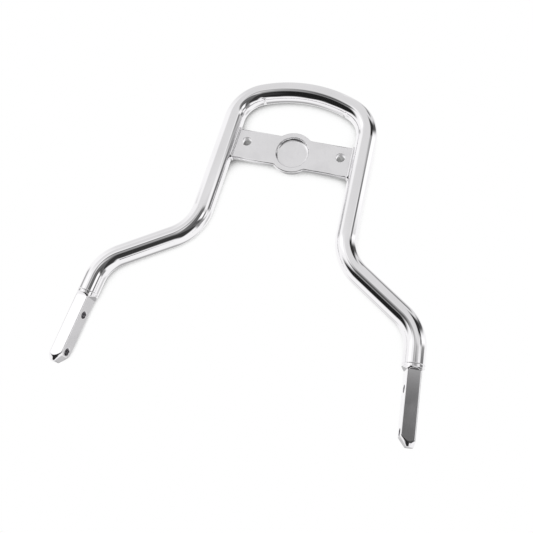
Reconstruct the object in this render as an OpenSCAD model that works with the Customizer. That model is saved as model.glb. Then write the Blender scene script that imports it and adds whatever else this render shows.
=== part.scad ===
// Sissy bar upright for a motorcycle: one bent tube hoop, a cross plate for a
// backrest pad and a badge, and two solid feet with a pair of tapped holes each.
// Millimetres. +Z is up as it stands on the motorcycle, X runs across it, and
// -Y is the side that the badge recess faces. The origin lies between the tips
// of the feet, in the middle plane of the tube.

/* [Tube] */
// Outer diameter of the bent tube
tube_d = 22.2; // [18:0.1:28]
// Wall of the bent tube
tube_wall = 2.6; // [1.5:0.1:4]

/* [Crown] */
// Height of the tube's centre line at the crown above the tips of the feet
crown_h = 348; // [320:1:420]
// Radius of the gentle arch, on the centre line
crown_r = 132; // [110:1:180]
// Turn of the arch from its middle to the corner bend, in degrees
crown_turn = 22; // [16:0.5:26]
// Radius of the corner bends, on the centre line
corner_r = 38; // [30:1:44]
// Lean of each upright away from the middle, in degrees
upright_lean = 2.2; // [0:0.1:5]

/* [Legs] */
// Height of the knee, where the uprights' centre line turns outwards
knee_h = 170; // [150:1:190]
// Radius of the knee bends, on the centre line
knee_r = 48; // [34:1:56]
// Height where the centre line turns down again
ankle_h = 114; // [100:1:125]
// Distance of that turn from the middle
ankle_x = 166; // [150:1:185]
// Radius of the ankle bends, on the centre line
ankle_r = 42; // [30:1:46]
// Lean of each foot away from the middle, in degrees
foot_lean = 6.16; // [0:0.02:12]

/* [Feet] */
// Length of a foot below the tube, along its axis
foot_l = 78.5; // [74:0.5:84]
// Length of the round collar that the tube stands on
collar_l = 3; // [2:0.5:6]
// Length of the spigot inside the tube
spigot_l = 16; // [8:1:24]
// Play between the spigot and the tube's bore, on the diameter
spigot_play = 0.2; // [0.1:0.05:0.5]
// Step from the collar to the round blank that the flats are cut on
foot_step = 0.3; // [0.2:0.1:1]
// Thickness between the two drilled flats
foot_t = 14.6; // [12:0.1:15.4]
// How far the middle of that thickness lies outwards of the foot's axis
foot_set = 0.4; // [0:0.1:0.8]
// Width between the other two flats
foot_w = 16.4; // [14:0.1:18]
// Turn of the drilled flats about the foot's axis, towards the front, in degrees
foot_turn = 10.6; // [0:0.1:35]
// Length of the slope where each flat runs out below the collar
runout_l = 3; // [1:0.5:5]
// Half the angle of the cone that the tip is turned to, in degrees
nose_turn = 35; // [25:0.5:45]
// Diameter of the flat end of that cone
nose_d = 10; // [8:0.5:12]
// Distance of the cone's middle outwards from the foot's axis
nose_out = 2.2; // [1:0.1:3]
// Length of the ramp at the tip, on the side towards the middle
ramp_l = 8.6; // [6:0.2:9.6]
// How far that ramp cuts past the foot's axis at the tip
ramp_past = 0; // [0:0.1:1.5]
// Tapping diameter of the holes in the feet
tap_d = 6.8; // [5:0.1:8]
// Diameter of their countersinks
tap_mouth_d = 8.4; // [6:0.1:10]
// Distance from the tip to the lower hole
tap_rise = 12.9; // [11:0.1:18]
// Distance between the two holes of a foot
tap_pitch = 41.3; // [32:0.1:42]

/* [Cross plate] */
// Thickness of the cross plate
plate_t = 6.4; // [4:0.1:8]
// Height of the cross plate
plate_h = 34.8; // [28:0.1:40]
// Distance from the crown's centre line down to the plate's middle
plate_drop = 73.6; // [70:0.1:84]
// Diameter of the round boss in the middle of the plate
boss_d = 47; // [42:0.5:52]
// Radius of the corners between boss and plate
boss_blend_r = 5; // [2:0.5:8]
// Diameter of the round recess for a badge
recess_d = 35; // [25:0.5:40]
// Depth of that recess
recess_depth = 2.6; // [1:0.1:3.5]
// Distance from the tube to the middle of each pad hole, along the plate
pad_end = 11.75; // [9:0.05:16]
// Height of the pad holes above the plate's middle
pad_rise = 3.4; // [0:0.1:8]
// Diameter of the pad holes
pad_hole_d = 9.5; // [6:0.1:12]
// Width of the bevel round each mouth of the holes and the recess
mouth_bevel = 0.6; // [0.2:0.1:1]

/* [Welds] */
// Radius of the weld bead round the plate's ends
plate_bead_r = 3; // [2:0.1:4]
// Width of the ring of weld round each collar's joint
ring_w = 3.4; // [2:0.1:5]
// Height of that ring over the tube
ring_rise = 0.3; // [0.2:0.1:1]
// Gap left between the plate's end and the tube before welding
cope_gap = 0.1; // [0:0.05:0.5]

/* [Hidden] */
$fn = 96;

// How far a cut runs past the face that it opens
overrun = 1;
tube_bore = tube_d - 2 * tube_wall;
// How far straight lengths and the crown lap into the bends, and how much
// slimmer the bends are
lap = 0.4;
lap_turn = lap / crown_r * 180 / PI;
bend_slim = 0.1;
foot_d = tube_d - 2 * foot_step;
foot_cut = tube_d / 2 + overrun;

// The centre line of the right half, from the crown to the foot. Bends turn it
// clockwise down the hoop, outwards at the knee, and down again at the ankle.
corner_turn = 90 - crown_turn - upright_lean;
crown_end = [crown_r * sin(crown_turn), crown_h - crown_r * (1 - cos(crown_turn))];
corner_centre = crown_end - corner_r * [sin(crown_turn), cos(crown_turn)];
upright_top = corner_centre + corner_r * [cos(upright_lean), sin(upright_lean)];
upright_dir = [sin(upright_lean), -cos(upright_lean)];
knee = upright_top + upright_dir * (upright_top.y - knee_h) / cos(upright_lean);
ankle = [ankle_x, ankle_h];
// The point where the foot's axis meets its flat end. The end's lowest corner,
// where the ramp meets the cone at the back, lies at zero.
ramp_reach = nose_out - ramp_past;
ramp_half = sqrt(nose_d * nose_d / 4 - ramp_reach * ramp_reach);
tip_z = (ramp_half * sin(foot_turn) - ramp_past * cos(foot_turn)) * sin(foot_lean);
tip = [ankle_x + (ankle_h - tip_z) * tan(foot_lean), tip_z];
function heading(from, to) = atan2(to.x - from.x, from.y - to.y);
slant_lean = heading(knee, ankle);
knee_turn = slant_lean - upright_lean;
ankle_turn = slant_lean - foot_lean;
function tangent(r, turn) = r * tan(turn / 2);
upright_l = norm(knee - upright_top) - tangent(knee_r, knee_turn);
slant_l = norm(ankle - knee) - tangent(knee_r, knee_turn) - tangent(ankle_r, ankle_turn);
shank_l = norm(tip - ankle) - tangent(ankle_r, ankle_turn) - foot_l;

// The plate's middle, and how far the uprights' axes are from the middle there
plate_z = crown_h - plate_drop;
plate_reach = upright_top.x + (upright_top.y - plate_z) * tan(upright_lean);
pad_x = plate_reach - tube_d / 2 - pad_end;

// A straight length along +X, with its children at its far end. It laps into the
// bends at both ends, which are a hair slimmer, so every joint is a clean step.
module straight(l, d) {
    translate([-lap, 0, 0]) rotate([0, 90, 0]) cylinder(h = l + 2 * lap, d = d);
    translate([l, 0, 0]) children();
}

// Part of a ring round the Y axis, from the top turned by lift, anticlockwise
module arc(r, turn, d, lift = 0) {
    rotate([90, 0, 0]) rotate(90 + lift)
        rotate_extrude(angle = turn) translate([r, 0]) circle(d = d);
}

// A bend that starts along +X and turns towards -Z, with its children at its end
module bend_in(r, turn, d) {
    translate([0, 0, -r]) arc(r, turn, d - bend_slim, -turn);
    translate([0, 0, -r]) rotate([0, turn, 0]) translate([0, 0, r]) children();
}

// The same, turning towards +Z
module bend_out(r, turn, d) {
    translate([0, 0, r]) arc(r, turn, d - bend_slim, 180);
    translate([0, 0, r]) rotate([0, -turn, 0]) translate([0, 0, -r]) children();
}

// One leg from the end of the crown's arch, as a solid rod of diameter d that
// runs past the collar by extra
module leg(d, extra) {
    translate([0, 0, crown_h - crown_r]) rotate([0, crown_turn, 0]) translate([0, 0, crown_r])
        bend_in(corner_r, corner_turn, d)
        straight(upright_l, d)
        bend_out(knee_r, knee_turn, d)
        straight(slant_l, d)
        bend_in(ankle_r, ankle_turn, d)
        straight(shank_l + extra - lap, d);
}

module hoop_rod(d, extra) {
    arch_turn = crown_turn + lap_turn;
    translate([0, 0, crown_h - crown_r]) arc(crown_r, 2 * arch_turn, d, -arch_turn);
    leg(d, extra);
    mirror([1, 0, 0]) leg(d, extra);
}

module hoop_tube() {
    color("gainsboro") difference() {
        hoop_rod(tube_d, 0);
        hoop_rod(tube_bore, overrun);
    }
}

// Puts its children on the right foot's axis, with +Z up the leg, the shoulder
// at foot_l, the tip at zero, and +X along the holes towards the middle
module on_right_foot() {
    translate([tip.x, 0, tip.y]) rotate([0, -foot_lean, 0])
        rotate([0, 0, 180 + foot_turn]) children();
}

module foot_blank() {
    rotate_extrude() polygon([
        [0, 0],
        [foot_d / 2, 0],
        [foot_d / 2, foot_l - collar_l],
        [tube_d / 2, foot_l - collar_l],
        [tube_d / 2, foot_l],
        [(tube_bore - spigot_play) / 2, foot_l],
        [(tube_bore - spigot_play) / 2, foot_l + spigot_l],
        [0, foot_l + spigot_l]
    ]);
}

// What the cutter takes off the foot's +X side: a flat at distance q that runs
// out below the collar
module flat_cut(q) {
    flat_top = foot_l - collar_l - runout_l;
    rotate([90, 0, 0]) translate([0, 0, -foot_cut])
        linear_extrude(2 * foot_cut) polygon([
            [q, -overrun],
            [q, flat_top],
            [foot_d / 2, flat_top + runout_l],
            [foot_cut, flat_top + runout_l],
            [foot_cut, -overrun]
        ]);
}

// What the ramp at the tip takes off, from the flat on the +X side
module ramp_cut() {
    flat = foot_t / 2 - foot_set;
    steep = (flat + ramp_past) / ramp_l;
    rotate([90, 0, 0]) translate([0, 0, -foot_cut])
        linear_extrude(2 * foot_cut) polygon([
            [-ramp_past - overrun * steep, -overrun],
            [flat, ramp_l],
            [foot_cut, ramp_l],
            [foot_cut, -overrun]
        ]);
}

module tapped_hole() {
    bevel = (tap_mouth_d - tap_d) / 2;
    translate([-foot_set, 0, 0]) rotate([0, 90, 0]) {
        cylinder(h = foot_t + 2 * overrun, d = tap_d, center = true);
        for (side = [0, 180]) rotate([side, 0, 0])
            translate([0, 0, foot_t / 2 - bevel])
                cylinder(h = bevel, d1 = tap_d, d2 = tap_mouth_d);
        for (side = [0, 180]) rotate([side, 0, 0])
            translate([0, 0, foot_t / 2])
                cylinder(h = overrun, d = tap_mouth_d);
    }
}

// The cone that the tip is turned to, wide enough further up for the whole foot
module nose_cone() {
    cone_h = 2 * foot_l;
    translate([-nose_out, 0, -overrun])
        cylinder(h = cone_h, r1 = nose_d / 2 - overrun * tan(nose_turn),
                 r2 = nose_d / 2 + (cone_h - overrun) * tan(nose_turn));
}

module right_foot() {
    color("lightgray") on_right_foot() difference() {
        intersection() {
            foot_blank();
            nose_cone();
        }
        flat_cut(foot_t / 2 - foot_set);
        rotate([0, 0, 180]) flat_cut(foot_t / 2 + foot_set);
        for (side = [90, 270]) rotate([0, 0, side]) flat_cut(foot_w / 2);
        ramp_cut();
        for (i = [0, 1]) translate([0, 0, tap_rise + i * tap_pitch]) tapped_hole();
    }
}

module left_foot() {
    mirror([1, 0, 0]) right_foot();
}

// The ring of weld over the joint between tube and collar, low and round
module right_foot_weld() {
    color("silver") on_right_foot() translate([0, 0, foot_l]) rotate_extrude() polygon([
        [tube_d / 2, -ring_w / 2],
        [tube_d / 2 + ring_rise * 0.7, -ring_w / 4],
        [tube_d / 2 + ring_rise, 0],
        [tube_d / 2 + ring_rise * 0.7, ring_w / 4],
        [tube_d / 2, ring_w / 2]
    ]);
}

module left_foot_weld() {
    mirror([1, 0, 0]) right_foot_weld();
}

// The hollow corner between the boss and the plate's upper edge, on one side
module boss_blend() {
    edge = plate_h / 2;
    far = boss_d / 2 + boss_blend_r;
    blend_x = sqrt(far * far - (edge + boss_blend_r) * (edge + boss_blend_r));
    touch = boss_d / 2 / far;
    difference() {
        polygon([
            [0, 0],
            [blend_x, edge],
            [blend_x * touch, (edge + boss_blend_r) * touch],
            [0, edge]
        ]);
        translate([blend_x, edge + boss_blend_r]) circle(r = boss_blend_r);
    }
}

module plate_outline() {
    square([2 * plate_reach, plate_h], center = true);
    circle(d = boss_d);
    for (x = [0, 1]) mirror([x, 0]) for (y = [0, 1]) mirror([0, y]) boss_blend();
}

// A straight rod on the right upright's axis, about the height of the plate
module right_upright_rod(d) {
    half = plate_h / 2 + plate_bead_r + overrun;
    translate([plate_reach, 0, plate_z]) rotate([0, -upright_lean, 0])
        cylinder(h = 2 * half, d = d, center = true);
}

// A bore along Y with a bevelled mouth at both faces of the plate
module pad_hole() {
    rotate([90, 0, 0]) {
        cylinder(h = plate_t + 2 * overrun, d = pad_hole_d, center = true);
        for (side = [0, 180]) rotate([side, 0, 0])
            translate([0, 0, plate_t / 2 - mouth_bevel])
                cylinder(h = mouth_bevel, d1 = pad_hole_d, d2 = pad_hole_d + 2 * mouth_bevel);
    }
}

module badge_recess() {
    translate([0, -plate_t / 2, 0]) rotate([90, 0, 0]) {
        translate([0, 0, -recess_depth]) cylinder(h = recess_depth + overrun, d = recess_d);
        translate([0, 0, -mouth_bevel])
            cylinder(h = mouth_bevel, d1 = recess_d, d2 = recess_d + 2 * mouth_bevel);
    }
}

module bare_plate() {
    translate([0, 0, plate_z]) rotate([90, 0, 0])
        linear_extrude(plate_t, center = true) plate_outline();
}

module cross_plate() {
    color("whitesmoke") difference() {
        bare_plate();
        for (x = [0, 1]) mirror([x, 0, 0]) right_upright_rod(tube_d + 2 * cope_gap);
        for (side = [-1, 1])
            translate([side * pad_x, 0, plate_z + pad_rise]) pad_hole();
        translate([0, 0, plate_z]) badge_recess();
    }
}

// The bead runs round the plate's end, against the tube
module right_plate_weld() {
    seat = sqrt(tube_d * tube_d / 4 - plate_t * plate_t / 4);
    color("silver") difference() {
        translate([plate_reach, 0, plate_z]) rotate([0, -upright_lean, 0])
            translate([-seat, 0, 0]) {
                for (y = [-1, 1]) translate([0, y * plate_t / 2, 0])
                    cylinder(h = plate_h, r = plate_bead_r, center = true);
                for (z = [-1, 1]) translate([0, 0, z * plate_h / 2]) {
                    rotate([90, 0, 0]) cylinder(h = plate_t, r = plate_bead_r, center = true);
                    for (y = [-1, 1]) translate([0, y * plate_t / 2, 0]) sphere(r = plate_bead_r);
                }
            }
        right_upright_rod(tube_d);
        bare_plate();
    }
}

module left_plate_weld() {
    mirror([1, 0, 0]) right_plate_weld();
}

hoop_tube();
cross_plate();
left_plate_weld();
right_plate_weld();
left_foot();
right_foot();
left_foot_weld();
right_foot_weld();
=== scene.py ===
# %% [markdown]
# # A sissy bar in chromed tube
# The real thing is one length of steel tube, bent into a hoop, with a flat plate
# welded across it and a solid foot welded into each end. All of it is chromed.
# The script starts by loading the imported solids. They set the place and the size of everything,
# and each piece made below lies exactly where its solid lies.

# %% Load the solids
import math

import bmesh
import bpy
from mathutils import Matrix, Vector


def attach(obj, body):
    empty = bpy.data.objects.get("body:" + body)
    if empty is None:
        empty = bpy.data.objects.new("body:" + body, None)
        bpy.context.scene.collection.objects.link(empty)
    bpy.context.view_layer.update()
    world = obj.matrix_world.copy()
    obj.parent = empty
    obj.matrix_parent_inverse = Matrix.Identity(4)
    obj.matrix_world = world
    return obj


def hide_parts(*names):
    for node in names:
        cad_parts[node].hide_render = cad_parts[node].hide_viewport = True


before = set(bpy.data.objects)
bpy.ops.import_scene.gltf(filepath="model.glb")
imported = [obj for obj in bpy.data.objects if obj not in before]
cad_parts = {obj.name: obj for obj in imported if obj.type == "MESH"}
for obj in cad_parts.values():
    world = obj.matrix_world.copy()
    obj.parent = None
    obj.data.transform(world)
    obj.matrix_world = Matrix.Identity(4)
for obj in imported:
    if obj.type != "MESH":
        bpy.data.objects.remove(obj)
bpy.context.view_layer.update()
print("solids:", ", ".join(sorted(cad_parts)))

# %% [markdown]
# ## Sizes
# Blender works in metres here, with +Z up and the badge side facing -Y. The
# pieces could be traced from the solids' meshes, but those have no rounded
# edges. So the part's own sizes are repeated here, and each piece is drawn
# anew with them. Heights are measured from the lowest corner of the tips. The
# hoop lies in the plane y = 0, so its places have two numbers, across and up.

# %% Sizes of the tube and its bends
MM = 0.001
tube_r = 11.1 * MM
crown_top, crown_bend, crown_turn = 348 * MM, 132 * MM, math.radians(22)
corner_bend, upright_lean = 38 * MM, math.radians(2.2)
knee_height, knee_bend = 170 * MM, 48 * MM
ankle, ankle_bend = Vector((166 * MM, 114 * MM)), 42 * MM
foot_lean, foot_turn, foot_length = math.radians(6.16), math.radians(10.6), 78.5 * MM
tip_height = 0.0886 * MM


def along(point, direction, distance):
    """The place that is reached from a point by going a distance that way."""
    return point + direction * distance


def meet(p, u, q, v):
    """Where the line from p along u crosses the line from q along v."""
    w = q - p
    return p + u * ((w.x * v.y - w.y * v.x) / (u.x * v.y - u.y * v.x))


crown_out = Vector((math.cos(crown_turn), -math.sin(crown_turn)))
crown_point = Vector((0, crown_top - crown_bend + crown_bend / math.cos(crown_turn)))
upright_down = Vector((math.sin(upright_lean), -math.cos(upright_lean)))
corner_turn = math.pi / 2 - crown_turn - upright_lean
crown_end = along(crown_point, crown_out, crown_bend * math.tan(crown_turn))
corner_point = along(crown_end, crown_out, corner_bend * math.tan(corner_turn / 2))
knee_point = meet(corner_point, upright_down, Vector((0, knee_height)), Vector((1, 0)))
foot_down = Vector((math.sin(foot_lean), -math.cos(foot_lean)))
foot_tip = meet(ankle, foot_down, Vector((0, tip_height)), Vector((1, 0)))
shoulder = along(foot_tip, foot_down, -foot_length)
print("corner at", [round(c / MM, 1) for c in corner_point], "mm")
print("foot tip at", [round(c / MM, 1) for c in foot_tip], "mm")

# %% [markdown]
# ## Plating marks
# Chrome is never perfectly even. Cleaning leaves faint hazy patches and hair
# scratches. They could be painted as an image, but noise needs no unwrapping
# and never repeats. Several finishes below show the same marks, so they are
# made once, as a node group. It gives out a colour and a roughness that change
# over the surface, and a height for the bump.


# %% A helper for node trees
def link(tree, start, end):
    tree.links.new(start, end)


def add(tree, kind, at=(0, 0), **settings):
    """Adds a node at a place in the editor and gives it its settings."""
    node = tree.nodes.new(kind)
    node.location = at
    for name, value in settings.items():
        setattr(node, name, value)
    return node


# %% The group that makes the plating marks
def make_plating_marks():
    group = bpy.data.node_groups.new("PlatingMarks", "ShaderNodeTree")
    sockets = group.interface
    for name, kind, value in (
        ("Clean Colour", "NodeSocketColor", (0.9, 0.9, 0.91, 1)),
        ("Hazy Colour", "NodeSocketColor", (0.84, 0.84, 0.86, 1)),
        ("Clean Roughness", "NodeSocketFloat", 0.03),
        ("Hazy Roughness", "NodeSocketFloat", 0.1),
        ("Patch Scale", "NodeSocketFloat", 40.0),
        ("Scratch Scale", "NodeSocketFloat", 900.0),
    ):
        socket = sockets.new_socket(name, in_out="INPUT", socket_type=kind)
        socket.default_value = value
    sockets.new_socket("Colour", in_out="OUTPUT", socket_type="NodeSocketColor")
    sockets.new_socket("Roughness", in_out="OUTPUT", socket_type="NodeSocketFloat")
    sockets.new_socket("Height", in_out="OUTPUT", socket_type="NodeSocketFloat")
    given = add(group, "NodeGroupInput", (-900, 0))
    out = add(group, "NodeGroupOutput", (700, 0))
    place = add(group, "ShaderNodeTexCoord", (-900, -300))
    patches = add(group, "ShaderNodeTexNoise", (-600, 100))
    patches.inputs["Detail"].default_value = 4.0
    link(group, place.outputs["Object"], patches.inputs["Vector"])
    link(group, given.outputs["Patch Scale"], patches.inputs["Scale"])
    haze = add(group, "ShaderNodeMapRange", (-380, 100))
    haze.inputs["From Min"].default_value = 0.45
    haze.inputs["From Max"].default_value = 0.75
    link(group, patches.outputs["Fac"], haze.inputs["Value"])
    stretch = add(group, "ShaderNodeMapping", (-700, -300))
    stretch.inputs["Scale"].default_value = (1.0, 1.0, 0.06)
    link(group, place.outputs["Object"], stretch.inputs["Vector"])
    hairs = add(group, "ShaderNodeTexNoise", (-500, -300))
    hairs.inputs["Detail"].default_value = 2.0
    link(group, stretch.outputs["Vector"], hairs.inputs["Vector"])
    link(group, given.outputs["Scratch Scale"], hairs.inputs["Scale"])
    fine = add(group, "ShaderNodeMapRange", (-280, -300))
    fine.inputs["From Min"].default_value = 0.62
    fine.inputs["From Max"].default_value = 0.72
    link(group, hairs.outputs["Fac"], fine.inputs["Value"])
    both = add(group, "ShaderNodeMath", (-100, 0), operation="MAXIMUM")
    link(group, haze.outputs["Result"], both.inputs[0])
    dim = add(group, "ShaderNodeMath", (-180, -150), operation="MULTIPLY")
    dim.inputs[1].default_value = 0.5
    link(group, fine.outputs["Result"], dim.inputs[0])
    link(group, dim.outputs[0], both.inputs[1])
    tint = add(group, "ShaderNodeMix", (150, 150), data_type="RGBA")
    link(group, both.outputs[0], tint.inputs["Factor"])
    link(group, given.outputs["Clean Colour"], tint.inputs["A"])
    link(group, given.outputs["Hazy Colour"], tint.inputs["B"])
    rough = add(group, "ShaderNodeMapRange", (150, -100))
    link(group, both.outputs[0], rough.inputs["Value"])
    link(group, given.outputs["Clean Roughness"], rough.inputs["To Min"])
    link(group, given.outputs["Hazy Roughness"], rough.inputs["To Max"])
    link(group, tint.outputs["Result"], out.inputs["Colour"])
    link(group, rough.outputs["Result"], out.inputs["Roughness"])
    link(group, fine.outputs["Result"], out.inputs["Height"])
    return group


plating_marks = make_plating_marks()
print("plating marks:", len(plating_marks.nodes), "nodes")


# %% [markdown]
# ## Finishes
# The shader itself stays in each material, and the group only feeds it. Chrome
# is a metal with almost no roughness, so what it shows is the studio round it.
# The tube is the sharpest mirror. The feet and the weld beads are a little softer, and the flat
# plate is softer again. The threaded holes look dark in the photograph, so the threads' finish is
# a dark and dull one: partly the bare steel's own darker tone, and partly painted shade deep in
# the holes. Only numbers differ, so one function makes all five.


# %% The chrome finishes
def make_chrome(name, clean, hazy, patch, scratch, colour, dull, bump, depth):
    """A metal with the plating marks: two roughnesses, two scales, two colours."""
    material = bpy.data.materials.new(name)
    material.use_nodes = True
    tree = material.node_tree
    shader = tree.nodes["Principled BSDF"]
    shader.inputs["Metallic"].default_value = 1.0
    marks = add(tree, "ShaderNodeGroup", (-500, 100), node_tree=plating_marks)
    for socket, value in (
        ("Clean Colour", (*colour, 1)),
        ("Hazy Colour", (*dull, 1)),
        ("Clean Roughness", clean),
        ("Hazy Roughness", hazy),
        ("Patch Scale", patch),
        ("Scratch Scale", scratch),
    ):
        marks.inputs[socket].default_value = value
    raise_marks = add(tree, "ShaderNodeBump", (-250, -200))
    raise_marks.inputs["Strength"].default_value = bump
    raise_marks.inputs["Distance"].default_value = depth
    link(tree, marks.outputs["Colour"], shader.inputs["Base Color"])
    link(tree, marks.outputs["Roughness"], shader.inputs["Roughness"])
    link(tree, marks.outputs["Height"], raise_marks.inputs["Height"])
    link(tree, raise_marks.outputs["Normal"], shader.inputs["Normal"])
    return material


tube_chrome = make_chrome(
    "Tube chrome", clean=0.03, hazy=0.08, patch=26, scratch=700,
    colour=(0.91, 0.9, 0.915), dull=(0.87, 0.86, 0.875), bump=0.04, depth=0.00002,
)
plate_chrome = make_chrome(
    "Plate chrome", clean=0.15, hazy=0.24, patch=55, scratch=1100,
    colour=(0.9, 0.89, 0.905), dull=(0.83, 0.82, 0.835), bump=0.08, depth=0.00003,
)
foot_chrome = make_chrome(
    "Foot chrome", clean=0.08, hazy=0.16, patch=45, scratch=1300,
    colour=(0.89, 0.88, 0.895), dull=(0.82, 0.81, 0.825), bump=0.08, depth=0.00003,
)
weld_chrome = make_chrome(
    "Weld chrome", clean=0.09, hazy=0.2, patch=90, scratch=1500,
    colour=(0.88, 0.87, 0.885), dull=(0.81, 0.8, 0.815), bump=0.15, depth=0.00005,
)
# Dark threads: partly the bare steel's own darker tone, partly painted shade inside the holes.
thread_tone_and_painted_shade = make_chrome(
    "Thread tone and painted shade", clean=0.25, hazy=0.4, patch=90, scratch=1500,
    colour=(0.34, 0.33, 0.35), dull=(0.2, 0.2, 0.21), bump=0.15, depth=0.00005,
)
print("finishes:", len(bpy.data.materials))

# %% [markdown]
# ## The hoop
# A tube bender works from a list of corner points and a bend radius for each.
# Straight tubes and parts of a torus could be joined to give the hoop, but
# every joint would have to be matched by hand. Geometry Nodes can work from the
# bender's own list: a line through the points, a fillet of the right radius at
# each, and a round profile swept along it. So the tree below is the bender, and
# its inputs are the tube's own sizes. It leaves out the bore, which is closed
# at both ends and never seen.


# %% Helpers that place a mesh and keep a result
def place_mesh(name, mesh):
    """A new object at the origin, with its place in its mesh."""
    piece = bpy.data.objects.new(name, mesh)
    bpy.context.scene.collection.objects.link(piece)
    return piece


def keep_result(carrier):
    """The plain mesh that an object's modifiers give. The object itself goes."""
    graph = bpy.context.evaluated_depsgraph_get()
    graph.update()
    mesh = bpy.data.meshes.new_from_object(carrier.evaluated_get(graph), depsgraph=graph)
    bpy.data.objects.remove(carrier)
    return mesh


# %% A geometry tree with named inputs
def new_geometry_tree(name, inputs):
    tree = bpy.data.node_groups.new(name, "GeometryNodeTree")
    tree.interface.new_socket("Geometry", in_out="INPUT", socket_type="NodeSocketGeometry")
    for socket, kind, value in inputs:
        made = tree.interface.new_socket(socket, in_out="INPUT", socket_type=kind)
        if value is not None:
            made.default_value = value
    tree.interface.new_socket("Geometry", in_out="OUTPUT", socket_type="NodeSocketGeometry")
    given = add(tree, "NodeGroupInput", (-1200, 0))
    out = add(tree, "NodeGroupOutput", (1200, 0))
    return tree, given, out


def finish_tree(tree, given, out, last):
    """Ends a tree in Realize Instances and Set Material."""
    real = add(tree, "GeometryNodeRealizeInstances", (800, 0))
    paint = add(tree, "GeometryNodeSetMaterial", (1000, 0))
    link(tree, last, real.inputs["Geometry"])
    link(tree, real.outputs["Geometry"], paint.inputs["Geometry"])
    link(tree, given.outputs["Finish"], paint.inputs["Material"])
    link(tree, paint.outputs["Geometry"], out.inputs["Geometry"])


def run_tree(name, start_mesh, tree, values):
    """Runs a tree on a mesh and keeps the result as a plain mesh object."""
    carrier = place_mesh(name + "_start", start_mesh)
    nodes = carrier.modifiers.new("Nodes", "NODES")
    nodes.node_group = tree
    for item in tree.interface.items_tree:
        if item.in_out == "INPUT" and item.name in values:
            nodes[item.identifier] = values[item.name]
    mesh = keep_result(carrier)
    mesh.name = name
    print(name, "has", len(mesh.polygons), "faces")
    return place_mesh(name, mesh)


# %% The tree that bends and sweeps the tube
def make_tube_bender():
    tree, given, out = new_geometry_tree(
        "TubeBender",
        (
            ("Tube Radius", "NodeSocketFloat", 0.011),
            ("Steps in a Bend", "NodeSocketInt", 28),
            ("Sides", "NodeSocketInt", 96),
            ("Weld Distance", "NodeSocketFloat", 0.0001),
            ("Finish", "NodeSocketMaterial", None),
        ),
    )
    line = add(tree, "GeometryNodeMeshToCurve", (-900, 0))
    bend = add(tree, "GeometryNodeFilletCurve", (-600, 0), mode="POLY")
    radius = add(tree, "GeometryNodeInputNamedAttribute", (-900, -250), data_type="FLOAT")
    radius.inputs["Name"].default_value = "bend_radius"
    ring = add(tree, "GeometryNodeCurvePrimitiveCircle", (-600, -300), mode="RADIUS")
    sweep = add(tree, "GeometryNodeCurveToMesh", (-200, 0))
    sweep.inputs["Fill Caps"].default_value = True
    merge = add(tree, "GeometryNodeMergeByDistance", (0, 0))
    smooth = add(tree, "GeometryNodeSetShadeSmooth", (200, 0))
    link(tree, given.outputs["Geometry"], line.inputs["Mesh"])
    link(tree, line.outputs["Curve"], bend.inputs["Curve"])
    link(tree, given.outputs["Steps in a Bend"], bend.inputs["Count"])
    link(tree, radius.outputs["Attribute"], bend.inputs["Radius"])
    link(tree, given.outputs["Tube Radius"], ring.inputs["Radius"])
    link(tree, given.outputs["Sides"], ring.inputs["Resolution"])
    link(tree, bend.outputs["Curve"], sweep.inputs["Curve"])
    link(tree, ring.outputs["Curve"], sweep.inputs["Profile Curve"])
    link(tree, sweep.outputs["Mesh"], merge.inputs["Geometry"])
    link(tree, given.outputs["Weld Distance"], merge.inputs["Distance"])
    link(tree, merge.outputs["Geometry"], smooth.inputs["Geometry"])
    finish_tree(tree, given, out, smooth.outputs["Geometry"])
    return tree


tube_bender = make_tube_bender()
print("tube bender:", len(tube_bender.nodes), "nodes")

# %% [markdown]
# The list has a corner point and a radius for each bend, from the left foot
# over the crown to the right foot. Only the right half is written, and the
# left half mirrors it. The crown's radius is a hair smaller than the solid's, so
# that its bend ends just before a corner's bend begins. If they met at one
# point, the sweep would get spare faces there.

# %% The bender's list, and the hoop
crown_slim, tube_weld = 0.01 * MM, 0.15 * MM
right_half = [
    (corner_point, corner_bend),
    (knee_point, knee_bend),
    (ankle, ankle_bend),
    (shoulder, 0.0),
]
bend_list = [(Vector((-p.x, p.y)), r) for p, r in reversed(right_half)]
bend_list += [(crown_point, crown_bend - crown_slim)] + right_half


def path_mesh(name, points, closed=False):
    """A mesh of points and edges only, for a tree to turn into a curve."""
    mesh = bpy.data.meshes.new(name)
    edges = [(i, i + 1) for i in range(len(points) - 1)]
    if closed:
        edges.append((len(points) - 1, 0))
    mesh.from_pydata([tuple(p) for p in points], edges, [])
    return mesh


bender_line = path_mesh("bender_line", [(p.x, 0, p.y) for p, r in bend_list])
radii = bender_line.attributes.new("bend_radius", "FLOAT", "POINT")
radii.data.foreach_set("value", [r for p, r in bend_list])
hoop = run_tree("hoop", bender_line, tube_bender, {
    "Tube Radius": tube_r, "Steps in a Bend": 28, "Sides": 96,
    "Weld Distance": tube_weld, "Finish": tube_chrome,
})
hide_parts("hoop_tube")
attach(hoop, "root")

# %% [markdown]
# ## The cross plate
# The plate is cut from flat bar, with a round boss in its middle, a round
# recess for a badge in the boss, and two holes for a back pad. What makes it
# look real is the small round on every edge, which catches the light. A Bevel
# modifier could round them, but it leaves long thin faces round the holes.
# Flat faces with rounded edges are easy to make ring by ring instead: each
# outline is drawn at several insets, all with the same number of points, and
# neighbouring rings are joined by strips. The flat faces stay exactly flat.

# %% Sizes of the plate
plate_t, plate_h = 6.4 * MM, 34.8 * MM
plate_z = crown_top - 73.6 * MM
boss_r, blend_r = 23.5 * MM, 5 * MM
recess_r, recess_depth = 17.5 * MM, 2.6 * MM
pad_x, pad_rise, pad_hole_r = 51.5 * MM, 3.4 * MM, 4.75 * MM
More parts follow.
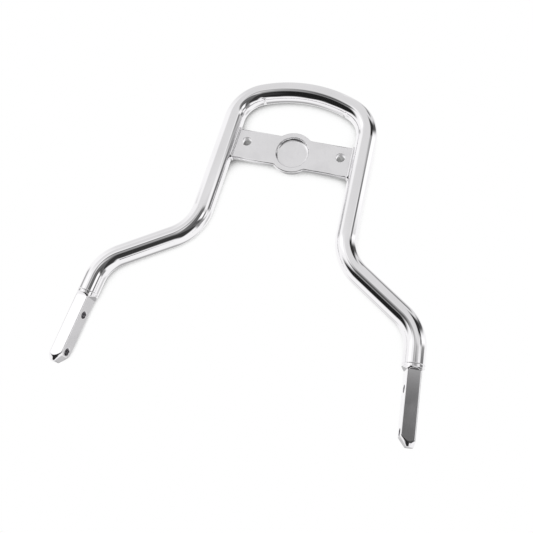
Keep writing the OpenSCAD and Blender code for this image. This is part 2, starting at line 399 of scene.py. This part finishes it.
# The plate's ends are hidden in the tube, this far short of its middle line.
plate_short = 5 * MM
upright_x = corner_point.x + (corner_point.y - plate_z) * math.tan(upright_lean)
plate_end = upright_x - plate_short
# The recess has a soft corner at its bottom, which runs in and rises by these.
edge_round, recess_run, recess_drop = 1.2 * MM, 3.5 * MM, 2 * MM
hollow_steps, boss_steps, edge_steps, corner_steps = 10, 28, 5, 10
hole_sides, recess_sides = 64, 96
print("plate ends at", round(plate_end / MM, 1), "mm, height", round(plate_z / MM, 1), "mm")


# %% Outlines of the plate at an inset
def arc(cx, cy, r, start, end, steps):
    """Points on an arc, from one angle to another, both ends included."""
    return [
        (cx + r * math.cos(start + (end - start) * i / steps),
         cy + r * math.sin(start + (end - start) * i / steps))
        for i in range(steps + 1)
    ]


def plate_outline(inset):
    """Anticlockwise outline of the plate, with hollow corners beside the boss."""
    top, boss, hollow = plate_h / 2 - inset, boss_r - inset, blend_r + inset
    reach = boss_r + blend_r
    rise = plate_h / 2 + blend_r
    side = math.sqrt(reach * reach - rise * rise)
    turn = math.atan2(rise, side)
    right = [(plate_end, top)]
    right += arc(side, rise, hollow, -math.pi / 2, turn - math.pi, hollow_steps)
    over_boss = arc(0, 0, boss, turn, math.pi - turn, boss_steps)
    left = [(-x, y) for x, y in reversed(right)]
    upper = right + over_boss[1:-1] + left
    return upper + [(-x, -y) for x, y in upper]


def circle(cx, cy, r, sides):
    return arc(cx, cy, r, 0, 2 * math.pi, sides)[:-1]


# %% Helpers that join rings into walls and fill flat faces
def ring_of(bm, points, depth):
    """A closed ring of vertices in the plate's plane, at a depth along Y."""
    return [bm.verts.new((x, depth, y + plate_z)) for x, y in points]


def wall(bm, rings):
    """Joins each ring to the next one with a smooth strip of faces."""
    for first, second in zip(rings, rings[1:]):
        for i in range(len(first)):
            j = (i + 1) % len(first)
            face = bm.faces.new((first[i], first[j], second[j], second[i]))
            face.smooth = True


def fill(bm, rings):
    """Fills the flat face inside the first ring and outside the others."""
    edges = [bm.edges.get((ring[i - 1], ring[i])) for ring in rings for i in range(len(ring))]
    made = bmesh.ops.triangle_fill(bm, use_beauty=True, use_dissolve=False, edges=edges)
    for face in made["geom"]:
        if isinstance(face, bmesh.types.BMFace):
            face.smooth = False


def quarter_round(r, steps):
    """(inset, depth) steps of a quarter round, from the flat face to the wall."""
    return [
        (r * (1 - math.sin(t)), r * (1 - math.cos(t)))
        for t in (math.pi / 2 * i / steps for i in range(steps + 1))
    ]


def mesh_of(bm, name):
    """Turns every face outwards and keeps the result as a mesh."""
    bmesh.ops.recalc_face_normals(bm, faces=bm.faces)
    open_edges = sum(len(edge.link_faces) != 2 for edge in bm.edges)
    mesh = bpy.data.meshes.new(name)
    bm.to_mesh(mesh)
    bm.free()
    print(name, "has", len(mesh.polygons), "faces and", open_edges, "open edges")
    return mesh


# %% The plate
def make_plate():
    bm = bmesh.new()
    front, back = -plate_t / 2, plate_t / 2
    edge = quarter_round(edge_round, edge_steps)
    rows = [(i, front + d) for i, d in edge] + [(i, back - d) for i, d in reversed(edge)]
    outer = [ring_of(bm, plate_outline(i), y) for i, y in rows]
    wall(bm, outer)
    mouth = quarter_round(edge_round / 2, edge_steps)
    rows = [(i, front + d) for i, d in mouth] + [(i, back - d) for i, d in reversed(mouth)]
    holes = []
    for side in (-1, 1):
        rings = [ring_of(bm, circle(side * pad_x, pad_rise, pad_hole_r + i, hole_sides), y)
                 for i, y in rows]
        wall(bm, rings)
        holes.append(rings)
    recess = [ring_of(bm, circle(0, 0, recess_r + i, recess_sides), front + d) for i, d in mouth]
    bottom = front + recess_depth
    for rise, run in quarter_round(1, corner_steps):
        inner = circle(0, 0, recess_r - recess_run * run, recess_sides)
        recess.append(ring_of(bm, inner, bottom - recess_drop * rise))
    wall(bm, recess)
    fill(bm, [outer[0], holes[0][0], holes[1][0], recess[0]])
    fill(bm, [outer[-1], holes[0][-1], holes[1][-1]])
    fill(bm, [recess[-1]])
    mesh = mesh_of(bm, "plate")
    mesh.materials.append(plate_chrome)
    return place_mesh("plate", mesh)


plate = make_plate()
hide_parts("cross_plate")
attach(plate, "root")

# %% [markdown]
# ## The feet
# Each foot is a turned bar with four flats milled on it, two of them drilled
# and tapped. Its tip is turned to a cone, a little off the foot's own axis, and
# has a ramp on the inner side. Cutting a cylinder with boxes would give the
# form, but its edges would be knife-sharp. Seen along the foot's axis, every
# level of it is the inside of a few lines and circles, so the shape can be
# written as one rule: how far it reaches at an angle and a height. Easing the
# change from one limit to the next rounds every edge a little, as polishing
# does. The rule measures from the middle of the tip's cone, because at the
# very tip the ramp comes close to the foot's axis.

# %% Sizes of a foot
collar_start, flats_end, blank_r = 75.5 * MM, 72.5 * MM, 10.8 * MM
collar_r = tube_r - 0.05 * MM
# Each flat has the way that it faces, in degrees, and its distance from the axis.
foot_flats = ((0, 6.9 * MM), (90, 8.2 * MM), (180, 7.7 * MM), (270, 8.2 * MM))
nose_slope, nose_r, nose_out = math.tan(math.radians(35)), 5 * MM, 2.2 * MM
ramp_length = 8.6 * MM
edge_ease, tip_round = 1.0 * MM, 0.6 * MM
thread_r, bore_r, drill_set, drill_reach = 3.95 * MM, 3.4 * MM, 0.4 * MM, 7.3 * MM
first_hole, hole_spacing = 12.9 * MM, 41.3 * MM
hole_heights = [first_hole, first_hole + hole_spacing]
right_foot_place = (
    Matrix.Translation((foot_tip.x, 0, foot_tip.y))
    @ Matrix.Rotation(-foot_lean, 4, "Y")
    @ Matrix.Rotation(math.pi + foot_turn, 4, "Z")
)
mirror_x = Matrix.Scale(-1, 4, (1, 0, 0))
left_foot_place = mirror_x @ right_foot_place
print("holes at", [round(height / MM, 1) for height in hole_heights], "mm up each foot")


# %% The rule for how far a foot reaches
# A line that is seen nearly edge-on sets no limit.
edge_on = 0.1


def eased_min(values):
    """The smallest value, with a soft change from one value to the next."""
    low = values[0]
    for value in values[1:]:
        near = max(edge_ease - abs(low - value), 0) / edge_ease
        low = min(low, value) - near * near * edge_ease / 4
    return low


def foot_reach(angle, height):
    """How far the foot reaches, measured from the middle of the tip's cone."""
    limits = [nose_r + height * nose_slope]
    run = max(height - flats_end, 0) / (collar_start - flats_end)
    for turn, flat in foot_flats:
        facing = math.cos(angle - math.radians(turn))
        if facing > edge_on and run < 1:
            reach = flat + (blank_r - flat) * run + nose_out * math.cos(math.radians(turn))
            limits.append(reach / facing)
    if math.cos(angle) > edge_on and height < ramp_length:
        ramp = foot_flats[0][1] * height / ramp_length
        limits.append((ramp + nose_out) / math.cos(angle))
    bar = blank_r if height < collar_start else collar_r
    across = nose_out * math.sin(angle)
    limits.append(nose_out * math.cos(angle) + math.sqrt(bar * bar - across * across))
    return eased_min(limits)


# %% The levels and angles that a foot is drawn at
tip_steps, nose_step, run_out_step = 5, 0.3, 0.25
flat_levels, collar_levels = (20, 30, 40, 50, 60, 68), (0.1, 0.3, 1, 2, 2.9)
wide_turn, fine_turn, fine_each_side = 1.5, 0.5, 16


def foot_levels():
    """(height, inset) of each ring, close together where the shape changes."""
    levels = [(depth, inset) for inset, depth in quarter_round(tip_round, tip_steps)]
    levels += [(step * nose_step * MM, 0) for step in range(3, 41)]
    levels += [(height * MM, 0) for height in flat_levels]
    levels += [(flats_end + step * run_out_step * MM, 0) for step in range(-2, 13)]
    return levels + [(collar_start + height * MM, 0) for height in collar_levels]


def flat_corners():
    """The angles at which two flats meet, seen from the middle of the cone."""
    corners = []
    for (turn, reach), (next_turn, next_reach) in zip(foot_flats, foot_flats[1:] + foot_flats[:1]):
        a, b = math.radians(turn), math.radians(next_turn)
        across = reach * math.cos(a) + next_reach * math.cos(b) + nose_out
        along_y = reach * math.sin(a) + next_reach * math.sin(b)
        corners.append(round(math.degrees(math.atan2(along_y, across)) % 360, 1))
    return corners


def foot_angles():
    """Even turns all round, with finer ones at the corners between the flats."""
    angles = {round(turn * wide_turn, 2) for turn in range(int(360 / wide_turn))}
    for corner in flat_corners():
        near = range(-fine_each_side, fine_each_side + 1)
        angles |= {round(corner + turn * fine_turn, 2) for turn in near}
    return [math.radians(angle) for angle in sorted(angles)]


print("corners between the flats at", flat_corners(), "degrees")
print("a foot has", len(foot_levels()), "levels and", len(foot_angles()), "angles")


# %% A foot, and the cutter for its holes
# Each step of a hole's mouth: how far past the face, and how much wider, in mm.
mouth_steps = ((-0.25, 0), (-0.1, 0.15), (-0.03, 0.25), (0, 0.4), (1, 1.6))
cutter_sides = 48


def capped_wall(bm, rings):
    wall(bm, rings)
    bm.faces.new(rings[0])
    bm.faces.new(rings[-1])


def foot_body(place):
    bm = bmesh.new()
    rings = []
    for height, inset in foot_levels():
        ring = []
        for angle in foot_angles():
            reach = foot_reach(angle, height) - inset
            x, y = reach * math.cos(angle) - nose_out, reach * math.sin(angle)
            ring.append(bm.verts.new(place @ Vector((x, y, height))))
        rings.append(ring)
    capped_wall(bm, rings)
    return bm


def hole_cutter(place):
    """Two round bars that widen at the foot's faces, to leave rounded mouths."""
    bm = bmesh.new()
    half = [(drill_reach + past * MM, thread_r + wider * MM) for past, wider in mouth_steps]
    profile = [(-x, r) for x, r in reversed(half)] + half
    for height in hole_heights:
        rings = [[bm.verts.new(place @ Vector((x - drill_set, y, height + z)))
                  for y, z in circle(0, 0, r, cutter_sides)] for x, r in profile]
        capped_wall(bm, rings)
    return bm


# %% Both feet
sharp_turn = math.radians(40)


def make_foot(node, name, place):
    """Cuts the holes, keeps the result, and shades it as polished flats."""
    raw = place_mesh(name + "_raw", mesh_of(foot_body(place), name + "_raw"))
    raw.data.materials.append(foot_chrome)
    tool = place_mesh("hole_cutter", mesh_of(hole_cutter(place), "hole_cutter"))
    cut = raw.modifiers.new("Open the holes", "BOOLEAN")
    cut.operation, cut.solver, cut.object = "DIFFERENCE", "EXACT", tool
    done = keep_result(raw)
    bpy.data.objects.remove(tool)
    done.name = name
    done.shade_smooth()
    done.set_sharp_from_angle(angle=sharp_turn)
    piece = place_mesh(name, done)
    weigh = piece.modifiers.new("Keep the flats flat", "WEIGHTED_NORMAL")
    weigh.keep_sharp = True
    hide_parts(node)
    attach(piece, "root")
    print(name, "has", len(done.polygons), "faces")


make_foot("right_foot", "foot_right", right_foot_place)
make_foot("left_foot", "foot_left", left_foot_place)

# %% [markdown]
# ## The threads
# The foot holes are tapped. A thread is a ridge that follows a helix. A bump
# could draw it, but the holes are wide enough to look into, so it is made as a
# shape. One tree makes it from a spiral and a small four-sided profile, of
# which only the inner corner stands out of the hole's wall. It puts a copy at
# each hole, along the hole's own axis. The four threads are one piece.


# %% The tree that cuts threads
def make_thread_tree():
    tree, given, out = new_geometry_tree(
        "HoleThreads",
        (
            ("Outer Radius", "NodeSocketFloat", 0.004),
            ("Ridge Height", "NodeSocketFloat", 0.0005),
            ("Pitch", "NodeSocketFloat", 0.00141),
            ("Length", "NodeSocketFloat", 0.0124),
            ("Finish", "NodeSocketMaterial", None),
        ),
    )
    turns = add(tree, "ShaderNodeMath", (-900, -200), operation="DIVIDE")
    helix = add(tree, "GeometryNodeCurveSpiral", (-650, -100))
    helix.inputs["Resolution"].default_value = 40
    rib = add(tree, "GeometryNodeCurvePrimitiveCircle", (-650, -450), mode="RADIUS")
    rib.inputs["Resolution"].default_value = 4
    sweep = add(tree, "GeometryNodeCurveToMesh", (-300, -100))
    sweep.inputs["Fill Caps"].default_value = True
    centre = add(tree, "GeometryNodeTransform", (-50, -100))
    drop = add(tree, "ShaderNodeMath", (-300, -350), operation="MULTIPLY")
    drop.inputs[1].default_value = -0.5
    offset = add(tree, "ShaderNodeCombineXYZ", (-150, -350))
    axis = add(tree, "GeometryNodeInputNamedAttribute", (-50, -500), data_type="FLOAT_VECTOR")
    axis.inputs["Name"].default_value = "hole_axis"
    aim = add(tree, "FunctionNodeAlignRotationToVector", (200, -450), axis="Z")
    copies = add(tree, "GeometryNodeInstanceOnPoints", (450, 0))
    link(tree, given.outputs["Length"], turns.inputs[0])
    link(tree, given.outputs["Pitch"], turns.inputs[1])
    link(tree, turns.outputs[0], helix.inputs["Rotations"])
    link(tree, given.outputs["Outer Radius"], helix.inputs["Start Radius"])
    link(tree, given.outputs["Outer Radius"], helix.inputs["End Radius"])
    link(tree, given.outputs["Length"], helix.inputs["Height"])
    link(tree, given.outputs["Ridge Height"], rib.inputs["Radius"])
    link(tree, helix.outputs["Curve"], sweep.inputs["Curve"])
    link(tree, rib.outputs["Curve"], sweep.inputs["Profile Curve"])
    link(tree, given.outputs["Length"], drop.inputs[0])
    link(tree, drop.outputs[0], offset.inputs["Z"])
    link(tree, sweep.outputs["Mesh"], centre.inputs["Geometry"])
    link(tree, offset.outputs["Vector"], centre.inputs["Translation"])
    link(tree, given.outputs["Geometry"], copies.inputs["Points"])
    link(tree, centre.outputs["Geometry"], copies.inputs["Instance"])
    link(tree, axis.outputs["Attribute"], aim.inputs["Vector"])
    link(tree, aim.outputs["Rotation"], copies.inputs["Rotation"])
    finish_tree(tree, given, out, copies.outputs["Instances"])
    return tree


# %% The threads in the four holes
thread_pitch, thread_short = 1.41 * MM, 2.2 * MM
hole_points, hole_axes = [], []
for place in (right_foot_place, left_foot_place):
    for height in hole_heights:
        hole_points.append(place @ Vector((-drill_set, 0, height)))
        hole_axes.append(place.to_3x3() @ Vector((1, 0, 0)))
thread_starts = path_mesh("thread_starts", hole_points)
axes = thread_starts.attributes.new("hole_axis", "FLOAT_VECTOR", "POINT")
axes.data.foreach_set("vector", [c for a in hole_axes for c in a])
threads = run_tree("foot_threads", thread_starts, make_thread_tree(), {
    "Outer Radius": thread_r, "Ridge Height": thread_r - bore_r,
    "Pitch": thread_pitch, "Length": 2 * drill_reach - thread_short, "Finish": thread_tone_and_painted_shade,
})
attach(threads, "root")

# %% [markdown]
# ## The weld beads
# A weld bead is laid in small pools that overlap like a row of coins. It could
# be a row of squashed spheres, but those leave seams where they cross. So a
# tree swells and narrows one round profile along the joint: each pool starts at
# full size and shrinks until the next one starts. The plating has smoothed the
# ripples, so they are shallow.


# %% The tree that lays a bead along a line
def make_bead_tree():
    tree, given, out = new_geometry_tree(
        "WeldBead",
        (
            ("Bead Radius", "NodeSocketFloat", 0.0028),
            ("Pool Length", "NodeSocketFloat", 0.0022),
            ("Ripple", "NodeSocketFloat", 0.12),
            ("Step", "NodeSocketFloat", 0.00035),
            ("Finish", "NodeSocketMaterial", None),
        ),
    )
    line = add(tree, "GeometryNodeMeshToCurve", (-1000, 0))
    even = add(tree, "GeometryNodeResampleCurve", (-800, 0), mode="LENGTH")
    where = add(tree, "GeometryNodeSplineParameter", (-1000, -300))
    pools = add(tree, "ShaderNodeMath", (-800, -300), operation="DIVIDE")
    phase = add(tree, "ShaderNodeMath", (-620, -300), operation="FRACT")
    fall = add(tree, "ShaderNodeMath", (-450, -300), operation="MULTIPLY")
    size = add(tree, "ShaderNodeMath", (-280, -300), operation="SUBTRACT")
    size.inputs[0].default_value = 1.0
    ring = add(tree, "GeometryNodeCurvePrimitiveCircle", (-450, -550), mode="RADIUS")
    ring.inputs["Resolution"].default_value = 20
    sweep = add(tree, "GeometryNodeCurveToMesh", (-100, 0))
    sweep.inputs["Fill Caps"].default_value = True
    smooth = add(tree, "GeometryNodeSetShadeSmooth", (200, 0))
    link(tree, given.outputs["Geometry"], line.inputs["Mesh"])
    link(tree, line.outputs["Curve"], even.inputs["Curve"])
    link(tree, given.outputs["Step"], even.inputs["Length"])
    link(tree, where.outputs["Length"], pools.inputs[0])
    link(tree, given.outputs["Pool Length"], pools.inputs[1])
    link(tree, pools.outputs[0], phase.inputs[0])
    link(tree, phase.outputs[0], fall.inputs[0])
    link(tree, given.outputs["Ripple"], fall.inputs[1])
    link(tree, fall.outputs[0], size.inputs[1])
    link(tree, given.outputs["Bead Radius"], ring.inputs["Radius"])
    link(tree, even.outputs["Curve"], sweep.inputs["Curve"])
    link(tree, size.outputs[0], sweep.inputs["Scale"])
    link(tree, ring.outputs["Curve"], sweep.inputs["Profile Curve"])
    link(tree, sweep.outputs["Mesh"], smooth.inputs["Geometry"])
    finish_tree(tree, given, out, smooth.outputs["Geometry"])
    return tree


bead_tree = make_bead_tree()
print("weld bead:", len(bead_tree.nodes), "nodes")


# %% A bead along a closed line
pool_length, pool_ripple, bead_step = 2.4 * MM, 0.1, 0.3 * MM


def lay_bead(name, points, radius):
    line = path_mesh(name + "_line", points, closed=True)
    return run_tree(name, line, bead_tree, {
        "Bead Radius": radius, "Pool Length": pool_length,
        "Ripple": pool_ripple, "Step": bead_step, "Finish": weld_chrome,
    })


# %% The beads at the plate's ends
plate_bead_r, path_corner, path_steps = 2.2 * MM, 1.6 * MM, 5


def plate_end_path(side):
    """A loop round the plate's end, lying on the upright's surface."""
    y, z = plate_t / 2 - path_corner, plate_h / 2 - path_corner
    loop = []
    for quarter, (cy, cz) in enumerate(((y, z), (-y, z), (-y, -z), (y, -z))):
        start, end = math.pi / 2 * quarter, math.pi / 2 * (quarter + 1)
        loop += arc(cy, cz, path_corner, start, end, path_steps)
    points = []
    for y, z in loop:
        x = upright_x - math.sqrt(tube_r * tube_r - y * y) - z * math.tan(upright_lean)
        points.append((side * x, y, plate_z + z))
    return points


for side, name in ((-1, "left"), (1, "right")):
    bead = lay_bead("plate_bead_" + name, plate_end_path(side), plate_bead_r)
    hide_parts(name + "_plate_weld")
    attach(bead, "root")


# %% The rings at the feet
foot_bead_r, ring_r, ring_sides = 1.0 * MM, tube_r - 0.75 * MM, 72


def ring_path(place):
    """A circle round the foot where the tube's end meets it."""
    return [place @ Vector((x, y, foot_length)) for x, y in circle(0, 0, ring_r, ring_sides)]


for name, place in (("left", left_foot_place), ("right", right_foot_place)):
    bead = lay_bead("foot_bead_" + name, ring_path(place), foot_bead_r)
    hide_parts(name + "_foot_weld")
    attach(bead, "root")

# %% [markdown]
# ## The studio
# Chrome shows its surroundings, so the studio makes the look. A white tent
# stands round the bar, with dark openings in front, where the camera looks in,
# and cards that are hung in it to shape the bands on the tube. Real cards could
# be modelled, but each would also be in the camera's or the light's way. So the
# world's colour does it all: it is worked out from the direction alone, as soft
# patches on a pale ground. Only reflections see the tent. To the camera and to
# soft light the world is plain white.


# %% The tent as a world
# The tent's own brightness, where no card hangs.
tent_white = 1.02


def direction_angles(tree):
    """Angle round the part, zero at its front and growing to +X, and height."""
    place = add(tree, "ShaderNodeTexCoord", (-1600, 0))
    parts = add(tree, "ShaderNodeSeparateXYZ", (-1400, 0))
    link(tree, place.outputs["Generated"], parts.inputs[0])
    front = add(tree, "ShaderNodeMath", (-1200, 100), operation="MULTIPLY")
    front.inputs[1].default_value = -1
    link(tree, parts.outputs["Y"], front.inputs[0])
    around = add(tree, "ShaderNodeMath", (-1000, 100), operation="ARCTAN2")
    link(tree, parts.outputs["X"], around.inputs[0])
    link(tree, front.outputs[0], around.inputs[1])
    height = add(tree, "ShaderNodeMath", (-1000, -100), operation="ARCSINE")
    link(tree, parts.outputs["Z"], height.inputs[0])
    return around, height


def how_far(tree, source, middle, y):
    """How far an angle is from a middle, the short way round."""
    shift = add(tree, "ShaderNodeMath", (-700, y), operation="SUBTRACT")
    link(tree, source.outputs[0], shift.inputs[0])
    shift.inputs[1].default_value = math.radians(middle)
    turn = add(tree, "ShaderNodeMath", (-550, y), operation="WRAP")
    link(tree, shift.outputs[0], turn.inputs[0])
    turn.inputs[1].default_value, turn.inputs[2].default_value = math.pi, -math.pi
    size = add(tree, "ShaderNodeMath", (-400, y), operation="ABSOLUTE")
    link(tree, turn.outputs[0], size.inputs[0])
    return size


def add_patch(tree, level, angles, patch, row):
    """Lays one soft-edged card over the tent and gives the new brightness."""
    around, up, wide, tall, soft, value = patch
    y = -300 * row
    cover = add(tree, "ShaderNodeMath", (0, y), operation="MULTIPLY")
    for k, (source, middle, half) in enumerate(zip(angles, (around, up), (wide, tall))):
        lower = y - 150 * k
        away = how_far(tree, source, middle, lower)
        edge = add(tree, "ShaderNodeMapRange", (-200, lower), interpolation_type="SMOOTHSTEP")
        edge.inputs["From Min"].default_value = math.radians(half + soft)
        edge.inputs["From Max"].default_value = math.radians(half - soft)
        link(tree, away.outputs[0], edge.inputs["Value"])
        link(tree, edge.outputs["Result"], cover.inputs[k])
    blend = add(tree, "ShaderNodeMix", (200, y), data_type="FLOAT")
    link(tree, cover.outputs[0], blend.inputs["Factor"])
    if level is None:
        blend.inputs["A"].default_value = tent_white
    else:
        link(tree, level, blend.inputs["A"])
    blend.inputs["B"].default_value = value
    return blend.outputs["Result"]


def make_studio(cards):
    """The world: the tent for mirror rays, and plain white for all others."""
    world = bpy.data.worlds.new("Studio")
    bpy.context.scene.world = world
    world.use_nodes = True
    tree = world.node_tree
    tree.nodes.clear()
    out = add(tree, "ShaderNodeOutputWorld", (1400, 0))
    angles = direction_angles(tree)
    level = None
    for row, card in enumerate(cards):
        level = add_patch(tree, level, angles, card, row)
    tent = add(tree, "ShaderNodeBackground", (900, 100))
    tent.inputs["Color"].default_value = (1, 1, 1, 1)
    link(tree, level, tent.inputs["Strength"])
    plain = add(tree, "ShaderNodeBackground", (900, -100))
    plain.inputs["Color"].default_value = (1, 1, 1, 1)
    rays = add(tree, "ShaderNodeLightPath", (900, 400))
    pick = add(tree, "ShaderNodeMixShader", (1200, 0))
    link(tree, rays.outputs["Is Glossy Ray"], pick.inputs["Fac"])
    link(tree, plain.outputs[0], pick.inputs[1])
    link(tree, tent.outputs[0], pick.inputs[2])
    link(tree, pick.outputs[0], out.inputs["Surface"])
    print("the studio has", len(cards), "cards and", len(tree.nodes), "nodes")


# %% [markdown]
# The cards were hung one by one, by looking at the band on the bar that each
# one makes. Where two of them overlap, the later one covers the earlier one, so
# large dim ones come first. Each row is the way to a card, round and up, its
# half width and half height, the softness of its edge, all in degrees, and its
# brightness. Round is zero in front of the plate and grows to the right, up is
# zero at the level.

# %% The cards in the tent
make_studio((
    # The ceiling, the wall high in front, and the floor at the back.
    (0, 82, 180, 40, 14, 0.77),
    (-4, 40, 44, 24, 9, 0.76),
    (180, -25, 25, 22, 12, 0.42),
    # A dark strip on the floor in front, and its short end to the right.
    (-8, -62, 40, 11, 6, 0.03),
    (48, -62, 7, 4, 2, 0.05),
    # Small grey cards straight in front, near the level.
    (-5, 11, 8, 5, 5, 0.4),
    (-4, -5, 7, 7, 5, 0.4),
    (-12, 5, 5, 5, 4, 0.28),
    (-18, -3, 8, 8, 5, 0.1),
    # The two black openings below the level in front.
    (-17, -36, 47, 25, 7, 0.015),
    (32, -29.5, 31, 18.5, 7, 0.04),
    # Dark walls in front on the right, with a bright card on them.
    (22, -0.75, 17, 17.25, 3.5, 0.155),
    (48, -3, 22, 12, 5, 0.10),
    (47, 3, 11, 6, 3, 1.15),
    # A black card high on the right, and a grey one under it.
    (50, 42, 14, 13, 5, 0.015),
    (57, 25, 11, 4, 3, 0.2),
    # Strips on the right: dark, black, bright, grey, dark, and one near the ceiling.
    (92, 46, 38, 7, 5, 0.10),
    (66, 46, 12, 6, 4, 0.03),
    (88, 27, 23, 5, 3, 1.15),
    (76, -12, 13, 9, 4, 0.28),
    (86, 17, 20, 6, 4, 0.18),
    (118, 66, 36, 4, 3, 0.22),
    # Two bright cards in front on the left.
    (-18, 13, 3, 4, 2.5, 1.0),
    (-46, 10, 13, 6, 3, 1.18),
    # Soft grey cards at the right back, at the left, and low at the left back.
    (134, 4, 14, 8, 5, 0.66),
    (-90, 17, 14, 4, 3, 0.45),
    (-134, -34, 14, 7, 6, 0.74),
))

# %% [markdown]
# ## The floor
# The floor is a pale sheet that the bar stands on. Chrome would mirror its
# edge as a hard line, so reflections don't see it, and it throws no shadow. The
# camera looks up from below it, so it shows its upper side only, and is clear
# from behind.


# %% The floor
stage_reach = 3.0


def make_sheet(name, corners):
    """A flat sheet that isn't mirrored, and the node tree of its own material."""
    mesh = bpy.data.meshes.new(name)
    mesh.from_pydata(corners, [], [(0, 1, 2, 3)])
    sheet = place_mesh(name, mesh)
    sheet.visible_glossy = False
    sheet.visible_shadow = False
    material = bpy.data.materials.new(name)
    material.use_nodes = True
    mesh.materials.append(material)
    return sheet, material.node_tree


def one_sided(tree, shader):
    """Shows the shader on the front only, and nothing from behind."""
    face = add(tree, "ShaderNodeNewGeometry", (-300, 300))
    clear = add(tree, "ShaderNodeBsdfTransparent", (0, -200))
    pick = add(tree, "ShaderNodeMixShader", (300, 0))
    link(tree, face.outputs["Backfacing"], pick.inputs["Fac"])
    link(tree, shader.outputs[0], pick.inputs[1])
    link(tree, clear.outputs[0], pick.inputs[2])
    link(tree, pick.outputs[0], tree.nodes["Material Output"].inputs["Surface"])


def make_floor():
    r = stage_reach
    floor, tree = make_sheet("floor", [(-r, -r, 0), (r, -r, 0), (r, r, 0), (-r, r, 0)])
    paint = tree.nodes["Principled BSDF"]
    paint.inputs["Base Color"].default_value = (0.85, 0.85, 0.85, 1)
    paint.inputs["Roughness"].default_value = 0.8
    one_sided(tree, paint)
    return floor


make_floor()

# %% [markdown]
# ## The backdrop
# The bar was photographed lying on a white sheet, so behind it there is a white backdrop that its
# tube almost touches. A lit sheet would be white in one place and grey in another. So this one
# glows evenly, and its glow is dimmed by ambient occlusion where the bar comes close, such as
# behind the plate's holes: a painted shadow.

# %% The backdrop
backdrop_gap, backdrop_foot = 1.4 * MM, -0.5


def make_backdrop():
    y, r, foot = tube_r + backdrop_gap, stage_reach, backdrop_foot
    backdrop, tree = make_sheet("backdrop", [(-r, y, foot), (r, y, foot), (r, y, r), (-r, y, r)])
    tree.nodes.remove(tree.nodes["Principled BSDF"])
    # Painted shadow: ambient occlusion near the bar dims the backdrop's glow.
    shade = add(tree, "ShaderNodeAmbientOcclusion", (-600, 0), samples=12)
    shade.inputs["Distance"].default_value = 0.06
    ease = add(tree, "ShaderNodeMapRange", (-400, 0), interpolation_type="SMOOTHSTEP")
    ease.inputs["From Min"].default_value = 0.12
    ease.inputs["From Max"].default_value = 0.46
    ease.inputs["To Min"].default_value = 0.07
    ease.inputs["To Max"].default_value = 1.0
    glow = add(tree, "ShaderNodeEmission", (-200, 0))
    link(tree, shade.outputs["AO"], ease.inputs["Value"])
    link(tree, ease.outputs["Result"], glow.inputs["Strength"])
    one_sided(tree, glow)
    return backdrop


make_backdrop()

# %% [markdown]
# ## The lamp
# The world lights everything evenly. One large soft lamp, high on the left,
# adds a little shape to whatever isn't a mirror. It is kept out of reflections,
# where the cards already do its work.

# %% The lamp
lamp_data = bpy.data.lights.new("soft_lamp", "AREA")
lamp_data.energy, lamp_data.size = 6.0, 0.9
lamp_place, lamp_target = Vector((-0.7, -0.5, 1.3)), Vector((0, 0, 0.15))
lamp = bpy.data.objects.new("soft_lamp", lamp_data)
lamp.location = lamp_place
lamp.rotation_euler = (lamp_target - lamp_place).to_track_quat("-Z", "Y").to_euler()
lamp.visible_glossy = False
bpy.context.scene.collection.objects.link(lamp)
print("lamp:", lamp_data.energy, "W,", lamp_data.size, "m wide")

# %% [markdown]
# ## The camera
# The bar was photographed from below its feet and a little to its right. The
# camera could be aimed by eye, but then no edge would fall where the photograph
# has it. Its place, its two directions and its lens were worked out together,
# from where the bar's own corners, holes and tube edges lie in the picture.

# %% The camera
lens_mm, sensor_mm = 57.88, 36
camera_place = Vector((0.185, -0.8145, -0.1145))
right = Vector((0.95818, 0.12998, 0.25495)).normalized()
forward = Vector((-0.20556, 0.93243, 0.29720)).normalized()
up = right.cross(forward)
camera_data = bpy.data.cameras.new("camera")
camera_data.sensor_width, camera_data.lens = sensor_mm, lens_mm
camera = bpy.data.objects.new("camera", camera_data)
camera.matrix_world = Matrix((
    (right.x, up.x, -forward.x, camera_place.x),
    (right.y, up.y, -forward.y, camera_place.y),
    (right.z, up.z, -forward.z, camera_place.z),
    (0, 0, 0, 1),
))
bpy.context.scene.collection.objects.link(camera)
bpy.context.scene.camera = camera
bpy.context.scene.view_settings.view_transform = "Standard"
print("camera:", round(camera_place.length, 3), "m from the middle between the tips")
